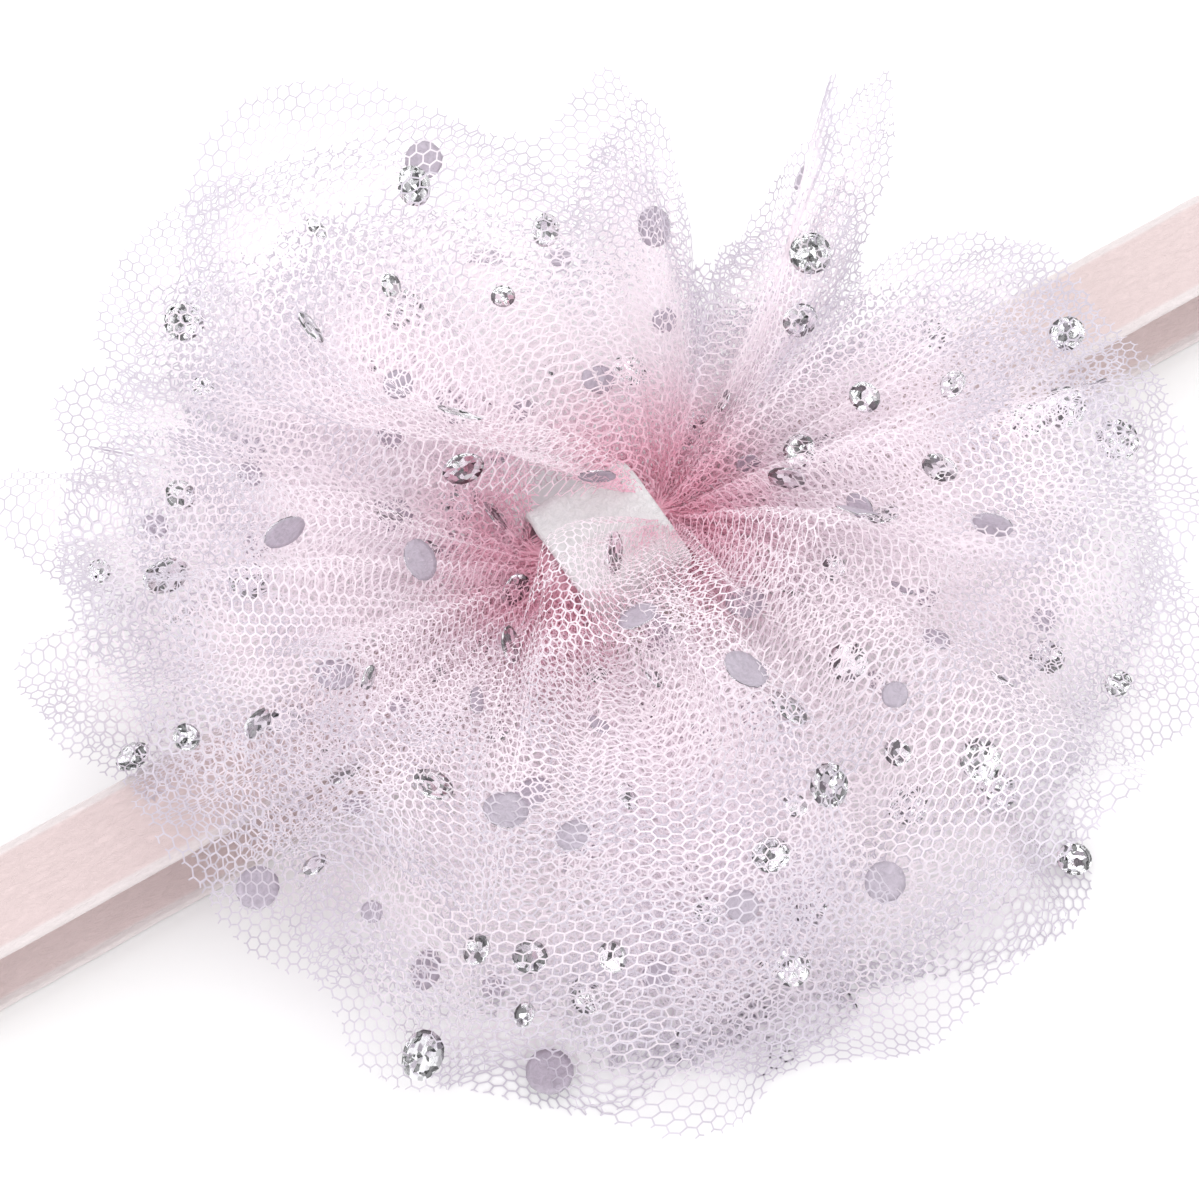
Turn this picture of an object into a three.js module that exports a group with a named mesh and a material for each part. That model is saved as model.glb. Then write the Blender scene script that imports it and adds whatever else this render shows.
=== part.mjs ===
import * as THREE from 'three';
import { mergeVertices } from 'three/addons/utils/BufferGeometryUtils.js';

// A baby headband: a soft elastic band lying as a flattened loop, with a puff of gathered tulle
// that a felt wrap ties to its front layer. Millimetres, +X along the band, +Z up, origin in the
// middle of the band's resting face.

// The band
const BAND_LENGTH = 350;
const BAND_WIDTH = 10.5;
const BAND_WALL = 1.0;
const LOOP_HEIGHT = 12;
const LOOP_END_STEPS = 10;

// The felt wrap
const WRAP_LENGTH = 12;
const WRAP_WALL = 1.2;
const WRAP_CORNER = 2.2;
const WRAP_CORNER_STEPS = 5;

// The tulle
const SHEET_COUNT = 5;
const TULLE_WALL = 1.0;
const WAIST_WIDTH = 8;
const FAN_REACH = 54;
const FIT_GAP = 0.35;
const PINCH_GAP = 0.65;

// Angles are in degrees. Each wing leaves the wrap spread by LEAVE_ANGLE to both sides and stays
// flat for FLAT_RUN, then swings until it has gone SWING_RUN and rises until it has gone RISE_RUN.
// Its rim droops by RIM_DROOP, but not where it heads within BAND_SECTOR of the band.
const LEAVE_ANGLE = 88;
const FLAT_RUN = 4;
const SWING_RUN = 19;
const RISE_RUN = 23;
const RIM_DROOP = 10;
const BAND_SECTOR = 32;

// Beside the wrap the gathers puff up: fully when they have gone PUFF_FULL, less from PUFF_FADE on
// and no more at PUFF_END. The highest sheet puffs up by PUFF_LIFT, and by SEAM_LIFT more towards
// a wing's edges, from SEAM_START of the way across on.
const PUFF_LIFT = 30;
const SEAM_LIFT = 20;
const PUFF_FULL = 3;
const PUFF_FADE = 6;
const PUFF_END = 24;
const SEAM_START = 0.5;

// The highest sheet is cut to this share of its reach round one fold of the near side, and stands
// up steeper there by its lift
const NEAR_PETAL = { heads: -88, halfWidth: 28, lift: 8, reach: 0.54 };

// Ruffles that all sheets share, and the share of the room between two sheets that each sheet's own
// ruffles take
const SHARED_FOLDS = 6.5;
const SHARED_DEPTH = 5;
const OWN_DEPTH = 0.4;
const SCALLOP_DEPTH = 0.05;

// Steps of the meshes
const STEPS_ACROSS = 44;
const STEPS_OUT = 5;
const WALK_STEPS = 50;

// Fold lines evenly spaced across a wing, from the near side to the far side: where the fold heads
// from the wing's outward axis, how far the lowest and the highest sheet reach there as shares of
// FAN_REACH, and how steeply those two rise
const RIGHT_FOLDS = [
  { heads: -116, reachLow: 0.95, reachHigh: 0.90, low: -18, high: 1 },
  { heads: -106, reachLow: 1.04, reachHigh: 0.98, low: -27, high: 6 },
  { heads: -92, reachLow: 1.02, reachHigh: 0.96, low: -28, high: 12 },
  { heads: -82, reachLow: 0.97, reachHigh: 0.94, low: -28, high: 17 },
  { heads: -70, reachLow: 1.03, reachHigh: 0.99, low: -26, high: 21 },
  { heads: -62, reachLow: 0.90, reachHigh: 0.89, low: -22, high: 25 },
  { heads: -54, reachLow: 0.97, reachHigh: 0.95, low: -18, high: 29 },
  { heads: -42, reachLow: 0.97, reachHigh: 0.94, low: -11, high: 33 },
  { heads: -30, reachLow: 0.96, reachHigh: 0.92, low: -4, high: 35 },
  { heads: -19, reachLow: 0.95, reachHigh: 0.90, low: 0, high: 37 },
  { heads: -7, reachLow: 0.88, reachHigh: 0.84, low: 0, high: 39 },
  { heads: 5, reachLow: 0.80, reachHigh: 0.66, low: 0, high: 41 },
  { heads: 16, reachLow: 0.62, reachHigh: 0.50, low: 1, high: 45 },
  { heads: 25, reachLow: 0.56, reachHigh: 1.08, low: -5, high: 50 },
  { heads: 34, reachLow: 0.46, reachHigh: 0.62, low: -12, high: 50 },
  { heads: 46, reachLow: 0.56, reachHigh: 0.50, low: -16, high: 50 },
  { heads: 56, reachLow: 0.44, reachHigh: 0.52, low: -20, high: 49 },
  { heads: 67, reachLow: 0.86, reachHigh: 0.80, low: -24, high: 48 },
  { heads: 79, reachLow: 0.68, reachHigh: 0.68, low: -27, high: 46 },
  { heads: 93, reachLow: 0.92, reachHigh: 0.92, low: -27, high: 43 },
  { heads: 109, reachLow: 1.06, reachHigh: 1.08, low: -24, high: 38 },
  { heads: 122, reachLow: 1.05, reachHigh: 1.06, low: -20, high: 33 },
  { heads: 131, reachLow: 0.90, reachHigh: 0.92, low: -14, high: 27 },
];
const LEFT_FOLDS = [
  { heads: -76, reachLow: 0.88, reachHigh: 0.84, low: -18, high: 4 },
  { heads: -71, reachLow: 0.94, reachHigh: 0.90, low: -25, high: 9 },
  { heads: -64, reachLow: 0.94, reachHigh: 0.92, low: -27, high: 13 },
  { heads: -56, reachLow: 0.94, reachHigh: 0.92, low: -26, high: 17 },
  { heads: -47, reachLow: 0.93, reachHigh: 0.90, low: -21, high: 21 },
  { heads: -38, reachLow: 0.90, reachHigh: 0.86, low: -13, high: 25 },
  { heads: -29, reachLow: 0.86, reachHigh: 0.84, low: -6, high: 28 },
  { heads: -20, reachLow: 0.84, reachHigh: 0.84, low: -2, high: 30 },
  { heads: -11, reachLow: 0.85, reachHigh: 0.86, low: 0, high: 32 },
  { heads: -2, reachLow: 0.87, reachHigh: 0.88, low: 0, high: 34 },
  { heads: 7, reachLow: 0.89, reachHigh: 0.90, low: 0, high: 35 },
  { heads: 15, reachLow: 0.91, reachHigh: 0.91, low: 0, high: 36 },
  { heads: 23, reachLow: 0.86, reachHigh: 0.88, low: -3, high: 37 },
  { heads: 31, reachLow: 0.92, reachHigh: 0.92, low: -8, high: 37 },
  { heads: 38, reachLow: 0.95, reachHigh: 0.93, low: -13, high: 36 },
  { heads: 45, reachLow: 0.70, reachHigh: 0.72, low: -18, high: 33 },
  { heads: 50, reachLow: 0.94, reachHigh: 0.90, low: -20, high: 29 },
  { heads: 55, reachLow: 0.78, reachHigh: 0.74, low: -18, high: 25 },
  { heads: 58, reachLow: 0.70, reachHigh: 0.68, low: -14, high: 21 },
];

// The sheets from the lowest to the highest: ruffles across a wing, where they start as a share of
// one ruffle, and the sheet's reach as a share of the fold lines' reach
const SHEETS = [
  { ruffles: 5, start: 0.00, reach: 1.00 },
  { ruffles: 6, start: 0.35, reach: 1.03 },
  { ruffles: 5, start: 0.70, reach: 0.98 },
  { ruffles: 6, start: 0.10, reach: 1.01 },
  { ruffles: 5, start: 0.55, reach: 0.97 },
];

const COLOURS = { band: 0xe7cfcb, felt: 0xf4f2f2, tulle: 0xecd3dc };

const radians = THREE.MathUtils.degToRad;
const smooth = THREE.MathUtils.smoothstep;
const pinchX = WRAP_LENGTH / 2 + PINCH_GAP;
const sheetPitch = TULLE_WALL + FIT_GAP;
const lyingHeight = (sheet) => TULLE_WALL / 2 + sheet * sheetPitch;
const waistHeight = (sheet) => LOOP_HEIGHT + FIT_GAP + lyingHeight(sheet);

// One column of a fold table at a place across the wing, from -1 to 1, on a smooth curve
function foldValue(folds, column, across) {
  const place = (across + 1) / 2 * (folds.length - 1);
  const row = Math.min(Math.floor(place), folds.length - 2);
  const t = place - row;
  const at = (index) => folds[THREE.MathUtils.clamp(index, 0, folds.length - 1)][column];
  const [a, b, c, d] = [at(row - 1), at(row), at(row + 1), at(row + 2)];
  return b + t / 2 * (c - a + t * (2 * a - 5 * b + 4 * c - d + t * (3 * (b - c) + d - a)));
}

// 0 where a line of the wing runs over the band, and 1 where it heads well away from it
function besideBand(folds, across) {
  return 1 - Math.exp(-Math.pow(foldValue(folds, 'heads', across) / BAND_SECTOR, 2));
}

// How much a place across a wing belongs to the near petal, from 0 to 1
function nearPetal(folds, sheet, across) {
  if (folds !== RIGHT_FOLDS || sheet < SHEET_COUNT - 1) return 0;
  return Math.exp(-Math.pow((foldValue(folds, 'heads', across) - NEAR_PETAL.heads) / NEAR_PETAL.halfWidth, 4));
}

// The rise in degrees that one sheet tends to at a place across the wing
function sheetRise(folds, sheet, across) {
  const low = foldValue(folds, 'low', across);
  const room = (foldValue(folds, 'high', across) - low) / (SHEET_COUNT - 1);
  const { ruffles, start } = SHEETS[sheet];
  const own = Math.cos(Math.PI * (ruffles * (across + 1) + 2 * start));
  const shared = Math.cos(Math.PI * SHARED_FOLDS * (across + 1));
  const fade = 1 - Math.pow(across, 4);
  const free = besideBand(folds, across);
  const ownDepth = OWN_DEPTH * room * (sheet === 0 ? free : 1);
  const petal = NEAR_PETAL.lift * nearPetal(folds, sheet, across);
  return petal + low + room * sheet + fade * (ownDepth * own + SHARED_DEPTH * shared * free);
}

// The points of one sheet's middle surface along one line of a wing, from the wrap to the rim
function wingLine(folds, side, sheet, across) {
  const rise = sheetRise(folds, sheet, across);
  const heads = foldValue(folds, 'heads', across);
  const rimDroop = RIM_DROOP * besideBand(folds, across);
  const [lowest, highest] = ['reachLow', 'reachHigh'].map((column) => foldValue(folds, column, across));
  const { reach: sheetReach, ruffles, start } = SHEETS[sheet];
  const scallop = 1 + SCALLOP_DEPTH * Math.cos(Math.PI * (ruffles * (across + 1) + 2 * start));
  const share = THREE.MathUtils.lerp(lowest, highest, sheet / (SHEET_COUNT - 1));
  const cut = 1 - (1 - NEAR_PETAL.reach) * nearPetal(folds, sheet, across);
  const reach = FAN_REACH * sheetReach * share * scallop * cut;
  const seam = smooth(Math.abs(across), SEAM_START, 1);
  const lift = (PUFF_LIFT + SEAM_LIFT * seam) * sheet / (SHEET_COUNT - 1);
  const point = new THREE.Vector3(pinchX, across * WAIST_WIDTH / 2, waistHeight(sheet));
  const line = [point.clone()];
  const step = reach / WALK_STEPS;
  let run = 0;
  for (let walked = 1; walked <= WALK_STEPS; walked += 1) {
    const leaves = LEAVE_ANGLE * across;
    const turn = radians(leaves + (heads - leaves) * smooth(run, FLAT_RUN, SWING_RUN));
    const droop = rimDroop * smooth(run, RISE_RUN, FAN_REACH);
    const puff = lift * smooth(run, 0, PUFF_FULL) * (1 - smooth(run, PUFF_FADE, PUFF_END));
    const slope = radians(rise * smooth(run, FLAT_RUN, RISE_RUN) + puff - droop);
    point.x += step * Math.cos(slope) * Math.cos(turn);
    point.y += step * Math.cos(slope) * Math.sin(turn);
    point.z += step * Math.sin(slope);
    run += step * Math.cos(slope);
    if (walked % (WALK_STEPS / STEPS_OUT) === 0) {
      line.push(new THREE.Vector3(side * point.x, point.y, Math.max(point.z, lyingHeight(sheet))));
    }
  }
  line[0].x *= side;
  return line;
}

// A closed wall of even thickness round a grid of middle points, rows[i][j]
function wallOf(rows, thickness) {
  const [across, along] = [rows.length, rows[0].length];
  const middle = rows.flat();
  const index = (i, j) => i * along + j;
  const faces = [];
  for (let i = 0; i < across - 1; i += 1) {
    for (let j = 0; j < along - 1; j += 1) {
      faces.push([index(i, j), index(i, j + 1), index(i + 1, j + 1)]);
      faces.push([index(i, j), index(i + 1, j + 1), index(i + 1, j)]);
    }
  }
  const surface = new THREE.BufferGeometry().setFromPoints(middle);
  surface.setIndex(faces.flat());
  surface.computeVertexNormals();
  const normals = surface.getAttribute('normal');
  const offset = (share) => middle.map((p, v) => (
    new THREE.Vector3().fromBufferAttribute(normals, v).multiplyScalar(share * thickness).add(p)
  ));
  const count = middle.length;
  const solidFaces = [];
  for (const [a, b, c] of faces) {
    solidFaces.push([a, b, c], [a + count, c + count, b + count]);
  }
  const rim = [];
  for (let i = 0; i < across - 1; i += 1) rim.push(index(i, 0));
  for (let j = 0; j < along - 1; j += 1) rim.push(index(across - 1, j));
  for (let i = across - 1; i > 0; i -= 1) rim.push(index(i, along - 1));
  for (let j = along - 1; j > 0; j -= 1) rim.push(index(0, j));
  rim.forEach((a, place) => {
    const b = rim[(place + 1) % rim.length];
    solidFaces.push([a, b, b + count], [a, b + count, a + count]);
  });
  const solid = new THREE.BufferGeometry().setFromPoints([...offset(0.5), ...offset(-0.5)]);
  solid.setIndex(solidFaces.flat());
  return solid;
}

// One sheet of tulle: the left wing, the gathered waist in the wrap, and the right wing
function tulleSheet(sheet) {
  const rows = [];
  for (let i = 0; i <= STEPS_ACROSS; i += 1) {
    const across = 2 * i / STEPS_ACROSS - 1;
    const left = wingLine(LEFT_FOLDS, -1, sheet, across).reverse();
    rows.push([...left, ...wingLine(RIGHT_FOLDS, 1, sheet, across)]);
  }
  return wallOf(rows, TULLE_WALL);
}

// A closed strap section seen from its edge: a rectangle with round corners
function roundedBox(width, height, corner) {
  const [x, y] = [width / 2, height / 2];
  const outline = new THREE.Path();
  outline.moveTo(-x + corner, -y);
  outline.lineTo(x - corner, -y);
  outline.absarc(x - corner, -y + corner, corner, -Math.PI / 2, 0);
  outline.lineTo(x, y - corner);
  outline.absarc(x - corner, y - corner, corner, 0, Math.PI / 2);
  outline.lineTo(-x + corner, y);
  outline.absarc(-x + corner, y - corner, corner, Math.PI / 2, Math.PI);
  outline.lineTo(-x, -y + corner);
  outline.absarc(-x + corner, -y + corner, corner, Math.PI, Math.PI * 1.5);
  return outline;
}

// A ring between two rounded boxes, one wall apart, as wide as it is extruded
function ring(width, height, corner, wall, depth, steps) {
  const shape = new THREE.Shape(roundedBox(width, height, corner).getPoints(steps));
  shape.holes.push(roundedBox(width - 2 * wall, height - 2 * wall, corner - wall));
  const geometry = new THREE.ExtrudeGeometry(shape, { depth, bevelEnabled: false, curveSegments: steps });
  return geometry.translate(0, 0, -depth / 2);
}

// The flattened loop of the band, with round turns at its two hidden ends
function band() {
  const turn = LOOP_HEIGHT / 2;
  const straight = (BAND_LENGTH - 2 * Math.PI * (turn - BAND_WALL / 2)) / 2;
  const loop = ring(straight + 2 * turn, LOOP_HEIGHT, turn, BAND_WALL, BAND_WIDTH, LOOP_END_STEPS);
  return loop.rotateX(Math.PI / 2).translate(0, 0, turn);
}

// The felt strip round the band's front layer and the waists of all sheets
function wrap() {
  const inside = LOOP_HEIGHT - BAND_WALL - FIT_GAP;
  const top = waistHeight(SHEET_COUNT - 1) + TULLE_WALL / 2 + FIT_GAP;
  const width = BAND_WIDTH + 2 * (FIT_GAP + WRAP_WALL);
  const height = top - inside + 2 * WRAP_WALL;
  const strip = ring(width, height, WRAP_CORNER, WRAP_WALL, WRAP_LENGTH, WRAP_CORNER_STEPS);
  return strip.rotateX(Math.PI / 2).rotateZ(Math.PI / 2).translate(0, 0, (top + inside) / 2);
}

function piece(name, geometry, color, roughness) {
  geometry.deleteAttribute('uv');
  geometry.deleteAttribute('normal');
  const material = new THREE.MeshStandardMaterial({ color, roughness, metalness: 0 });
  const mesh = new THREE.Mesh(mergeVertices(geometry), material);
  mesh.name = name;
  return mesh;
}

const headband = new THREE.Group();
headband.add(piece('band', band(), COLOURS.band, 0.85));
headband.add(piece('center_wrap', wrap(), COLOURS.felt, 0.95));
for (let sheet = 0; sheet < SHEET_COUNT; sheet += 1) {
  headband.add(piece(`tulle_sheet_${sheet + 1}`, tulleSheet(sheet), COLOURS.tulle, 0.8));
}

export default headband;
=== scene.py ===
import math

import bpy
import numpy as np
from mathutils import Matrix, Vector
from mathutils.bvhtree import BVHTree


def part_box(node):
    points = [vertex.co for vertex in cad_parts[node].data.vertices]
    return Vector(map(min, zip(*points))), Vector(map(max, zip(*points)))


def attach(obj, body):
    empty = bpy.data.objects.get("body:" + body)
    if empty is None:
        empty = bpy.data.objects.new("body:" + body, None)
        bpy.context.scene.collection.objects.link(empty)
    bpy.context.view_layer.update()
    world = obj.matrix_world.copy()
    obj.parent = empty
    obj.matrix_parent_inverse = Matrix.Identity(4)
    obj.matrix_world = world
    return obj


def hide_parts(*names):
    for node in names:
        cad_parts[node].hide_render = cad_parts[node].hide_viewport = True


bl_info = {
    "name": "Tulle Puff Baby Headband",
    "version": (1, 0, 0),
    "blender": (4, 5, 0),
    "location": "View3D > Sidebar > Headband",
    "description": "Builds a baby headband: a knitted band, a felt wrap and a puff of dotted tulle",
    "category": "Add Mesh",
}

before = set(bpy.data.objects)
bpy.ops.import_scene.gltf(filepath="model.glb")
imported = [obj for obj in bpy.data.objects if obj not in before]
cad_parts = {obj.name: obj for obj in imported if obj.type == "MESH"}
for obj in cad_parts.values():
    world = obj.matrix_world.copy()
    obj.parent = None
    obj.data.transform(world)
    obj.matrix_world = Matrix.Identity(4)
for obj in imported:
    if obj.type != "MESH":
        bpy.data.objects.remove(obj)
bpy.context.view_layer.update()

MM = 0.001
BAND_LOW, BAND_HIGH = (np.array(corner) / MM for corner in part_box("band"))
WRAP_LOW, WRAP_HIGH = (np.array(corner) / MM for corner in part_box("center_wrap"))
BODY = "root"

# The flattened loop of the band and the ring of the wrap, in millimetres, from the frame
LOOP_HEIGHT = BAND_HIGH[2]
BAND_WIDTH = BAND_HIGH[1] - BAND_LOW[1]
BAND_WALL = 1.0
WRAP_WALL = 1.2
FIT_GAP = 0.35

# How far the painted grey shade of the thin rims reaches in, and between which runs from the wrap the
# painted rose shade of the gathers fades, in millimetres, and how much of the light a thread lets through
PAINTED_RIM_SHADE_REACH = 11.0
PAINTED_GATHER_SHADE_RUNS = (1.0, 17.0)
THREAD_CLEARNESS = 0.45

# The tulle's construction, as the frame's solids have it, in millimetres and degrees
SHEET_COUNT = 5
PLIES = 2
PINCH_GAP = 0.65
PINCH_X = WRAP_HIGH[0] + PINCH_GAP
SHEET_PITCH = 1.35
SHEET_WALL = 1.0
WAIST_WIDTH = 8.0
FAN_REACH = 54.0
LEAVE_ANGLE = 88.0
FLAT_RUN = 4.0
SWING_RUN = 19.0
RISE_RUN = 23.0
RIM_DROOP = 10.0
BAND_SECTOR = 32.0
SHARED_FOLDS = 6.5
SHARED_DEPTH = 5.0
OWN_DEPTH = 0.4
SCALLOP_DEPTH = 0.05

# The gathers puff up beside the wrap, more so towards a wing's edges, in degrees and millimetres
PUFF_LIFT = 30.0
SEAM_LIFT = 20.0
PUFF_FULL = 3.0
PUFF_FADE = 6.0
PUFF_END = 24.0
SEAM_START = 0.5
# The nets close over the seam between the wings, and the upper ones lap over the wrap, in degrees.
# The laps grow with a ply's level, those of the right wing's top plies between the later levels
SEAM_OVERLAP = 28.0
WRAP_LAP = {"right": 86.0, "left": 34.0}
LAP_LEVELS = (1.8, 3.6)
TOP_LAP_LEVELS = (2.5, 4.0)
# A top lap leaves the wrap flat for longer, in a narrower waist and higher up, and the other seams
# swing round earlier; further out, the overlap eases
LAP_FLAT = 6.0
LAP_PINCH = 0.62
LAP_LIFT = 1.5
EARLY_SWING = 7.0
OVERLAP_RUNS = (12.0, 46.0)
# The near top petal: the fold that it is centred on, its half width and its extra rise in degrees,
# and the share of the reach that it keeps
NEAR_PETAL = (-88.0, 28.0, 8.0, 0.54)

# Gathers that fade in and out along a ply: their number across it, their depth, and where they peak
GATHER_WAVES = ((5, 2.2, 46), (9, 1.8, 36), (15, 1.3, 26), (26, 0.85, 17), (41, 0.45, 11), (67, 0.2, 8))
CRUMPLE_DEPTH = 0.8

# Fold lines evenly spaced across a wing, from the near side to the far side: where the fold heads,
# how far the lowest and the highest sheet reach there as shares of FAN_REACH, and how steeply they rise
FOLD_COLUMNS = ("heads", "reach_low", "reach_high", "low", "high")
RIGHT_FOLDS = (
    (-116, 0.95, 0.90, -18, 1),
    (-106, 1.04, 0.98, -27, 6),
    (-92, 1.02, 0.96, -28, 12),
    (-82, 0.97, 0.94, -28, 17),
    (-70, 1.03, 0.99, -26, 21),
    (-62, 0.90, 0.89, -22, 25),
    (-54, 0.97, 0.95, -18, 29),
    (-42, 0.97, 0.94, -11, 33),
    (-30, 0.96, 0.92, -4, 35),
    (-19, 0.95, 0.90, 0, 37),
    (-7, 0.88, 0.84, 0, 39),
    (5, 0.80, 0.66, 0, 41),
    (16, 0.62, 0.50, 1, 45),
    (25, 0.56, 1.02, -5, 50),
    (34, 0.46, 0.78, -12, 50),
    (46, 0.56, 0.50, -16, 50),
    (56, 0.44, 0.52, -20, 49),
    (67, 0.86, 0.80, -24, 48),
    (79, 0.68, 0.68, -27, 46),
    (93, 0.92, 0.92, -27, 43),
    (109, 1.06, 1.08, -24, 38),
    (122, 1.05, 1.06, -20, 33),
    (131, 0.90, 0.92, -14, 27),
)
LEFT_FOLDS = (
    (-76, 0.88, 0.84, -18, 4),
    (-71, 0.94, 0.90, -25, 9),
    (-64, 0.94, 0.92, -27, 13),
    (-56, 0.94, 0.92, -26, 17),
    (-47, 0.93, 0.90, -21, 21),
    (-38, 0.90, 0.86, -13, 25),
    (-29, 0.86, 0.84, -6, 28),
    (-20, 0.84, 0.84, -2, 30),
    (-11, 0.85, 0.86, 0, 32),
    (-2, 0.87, 0.88, 0, 34),
    (7, 0.89, 0.90, 0, 35),
    (15, 0.91, 0.91, 0, 36),
    (23, 0.86, 0.88, -3, 37),
    (31, 0.92, 0.92, -8, 37),
    (38, 0.95, 0.93, -13, 36),
    (45, 0.70, 0.72, -18, 33),
    (50, 0.94, 0.90, -20, 29),
    (55, 0.78, 0.74, -18, 25),
    (58, 0.70, 0.68, -14, 21),
)
WINGS = {"right": (1, RIGHT_FOLDS, 4.3), "left": (-1, LEFT_FOLDS, 2.7)}

# How much shorter the second ply of each sheet is cut, as a share of its reach
SHORTER = (0.10, 0.22, 0.13, 0.25, 0.16)

# Ruffles across a wing, where they start as a share of one ruffle, and the reach, for each sheet
SHEETS = (
    (5, 0.00, 1.00),
    (6, 0.35, 1.03),
    (5, 0.70, 0.98),
    (6, 0.10, 1.01),
    (5, 0.55, 0.97),
)


# Sizes and colours that a user would change


class BandSettings(bpy.types.PropertyGroup):
    rib_width: bpy.props.FloatProperty(
        name="Rib width", description="Width of the pale knitted rib at each edge, in millimetres",
        default=1.0, min=0.2, max=3.0)
    wale_pitch: bpy.props.FloatProperty(
        name="Wale pitch", description="Distance between the knit's rows, in millimetres",
        default=0.42, min=0.2, max=1.0)
    colour: bpy.props.FloatVectorProperty(
        name="Nylon", description="Colour of the knitted nylon", subtype="COLOR", size=3,
        default=(0.585, 0.480, 0.476), min=0.0, max=1.0)
    rib_colour: bpy.props.FloatVectorProperty(
        name="Rib", description="Colour of the ribs", subtype="COLOR", size=3,
        default=(0.66, 0.60, 0.60), min=0.0, max=1.0)


class WrapSettings(bpy.types.PropertyGroup):
    fuzz_count: bpy.props.FloatProperty(
        name="Fuzz density", description="Loose fibres on each square millimetre of felt",
        default=2.4, min=0.0, max=10.0)
    colour: bpy.props.FloatVectorProperty(
        name="Felt", description="Colour of the felt", subtype="COLOR", size=3,
        default=(0.74, 0.73, 0.74), min=0.0, max=1.0)


class TulleSettings(bpy.types.PropertyGroup):
    cell_pitch: bpy.props.FloatProperty(
        name="Mesh pitch", description="Distance between neighbouring holes, in millimetres",
        default=1.2, min=1.0, max=4.0)
    thread_width: bpy.props.FloatProperty(
        name="Thread", description="Width of a strand, in millimetres",
        default=0.165, min=0.05, max=0.5)
    # Painted shade: the grey mauve that the threads get near the rim, where the thin net looks darker
    painted_rim_shade: bpy.props.FloatVectorProperty(
        name="Rim", description="Colour of the net at its rim", subtype="COLOR", size=3,
        default=(0.58, 0.54, 0.61), min=0.0, max=1.0)
    colour: bpy.props.FloatVectorProperty(
        name="Tulle", description="Colour of the net between its rim and the gathers",
        subtype="COLOR", size=3,
        default=(0.92, 0.85, 0.89), min=0.0, max=1.0)
    # Painted shade: the deeper rose that the threads get in the gathers, where the many layers shade each
    # other
    painted_gather_shade: bpy.props.FloatVectorProperty(
        name="Gathers", description="Colour of the net where it is gathered", subtype="COLOR", size=3,
        default=(0.93, 0.57, 0.68), min=0.0, max=1.0)
    seed: bpy.props.IntProperty(
        name="Seed", description="Picks the small wrinkles", default=7, min=0)


class DotSettings(bpy.types.PropertyGroup):
    crinkle: bpy.props.FloatProperty(
        name="Crinkle", description="Height of the foil's wrinkles, in millimetres",
        default=0.32, min=0.0, max=1.0)
    scattered: bpy.props.IntProperty(
        name="Scattered dots", description="Dots on the lower layers besides the charted ones",
        default=150, min=0)
    colour: bpy.props.FloatVectorProperty(
        name="Foil", description="Colour of the foil's face", subtype="COLOR", size=3,
        default=(0.80, 0.80, 0.82), min=0.0, max=1.0)
    back_colour: bpy.props.FloatVectorProperty(
        name="Foil back", description="Colour of the foil's glued back", subtype="COLOR", size=3,
        default=(0.46, 0.41, 0.48), min=0.0, max=1.0)
    seed: bpy.props.IntProperty(
        name="Seed", description="Picks the scattered dots", default=3, min=0)


class StageSettings(bpy.types.PropertyGroup):
    azimuth: bpy.props.FloatProperty(
        name="Azimuth", description="Direction that the camera looks from, in degrees",
        default=-32.0, min=-180.0, max=180.0)
    elevation: bpy.props.FloatProperty(
        name="Elevation", description="Height of the camera above the horizon, in degrees",
        default=62.0, min=5.0, max=89.0)
    distance: bpy.props.FloatProperty(
        name="Distance", description="From the camera to the wrap, in metres",
        default=0.30, min=0.05, max=3.0, unit="LENGTH")
    frame_height: bpy.props.FloatProperty(
        name="Picture height", description="What the picture spans at the wrap, in metres",
        default=0.120, min=0.01, max=2.0, unit="LENGTH")
    room_strength: bpy.props.FloatProperty(
        name="Room light", description="Brightness of the white room", default=1.3, min=0.0)


# Shader nodes


def new_material(name):
    material = bpy.data.materials.new(name)
    material.use_nodes = True
    tree = material.node_tree
    return material, tree, tree.nodes["Principled BSDF"]


def fill(tree, node, values):
    """Sets a node's inputs, each from a constant or a source socket."""
    for socket, value in values:
        if isinstance(value, bpy.types.NodeSocket):
            tree.links.new(value, node.inputs[socket])
        else:
            node.inputs[socket].default_value = value


def add_node(tree, kind, values=(), **options):
    node = tree.nodes.new(kind)
    for name, option in options.items():
        setattr(node, name, option)
    fill(tree, node, values)
    return node


def open_group(name, inputs, outputs):
    group = bpy.data.node_groups.new(name, "ShaderNodeTree")
    for label, kind, default in inputs:
        socket = group.interface.new_socket(label, in_out="INPUT", socket_type=kind)
        socket.default_value = default
    for label, kind in outputs:
        group.interface.new_socket(label, in_out="OUTPUT", socket_type=kind)
    return group, group.nodes.new("NodeGroupInput"), group.nodes.new("NodeGroupOutput")


def object_place(tree):
    return add_node(tree, "ShaderNodeTexCoord").outputs["Object"]


def attribute(tree, name):
    return add_node(tree, "ShaderNodeAttribute", attribute_name=name).outputs["Fac"]


def remap(tree, value, low, high, to_low=0.0, to_high=1.0, **options):
    return add_node(tree, "ShaderNodeMapRange", [
        ("Value", value), ("From Min", low), ("From Max", high), ("To Min", to_low),
        ("To Max", to_high)], **options).outputs[0]


def vector_math(tree, operation, first, second):
    amount = "Scale" if operation == "SCALE" else 1
    node = add_node(tree, "ShaderNodeVectorMath", [(0, first), (amount, second)], operation=operation)
    return node.outputs[0]


def noise(tree, place, scale, detail, **more):
    values = [("Vector", place), ("Scale", scale), ("Detail", detail), *more.items()]
    return add_node(tree, "ShaderNodeTexNoise", values)


def bump(tree, height, distance):
    return add_node(tree, "ShaderNodeBump", [
        ("Height", height), ("Distance", distance), ("Strength", 0.8)]).outputs["Normal"]


def mix_colours(tree, factor, first, second):
    values = [(0, factor), (6, first), (7, second)]
    return add_node(tree, "ShaderNodeMix", values, data_type="RGBA").outputs[2]


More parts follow.
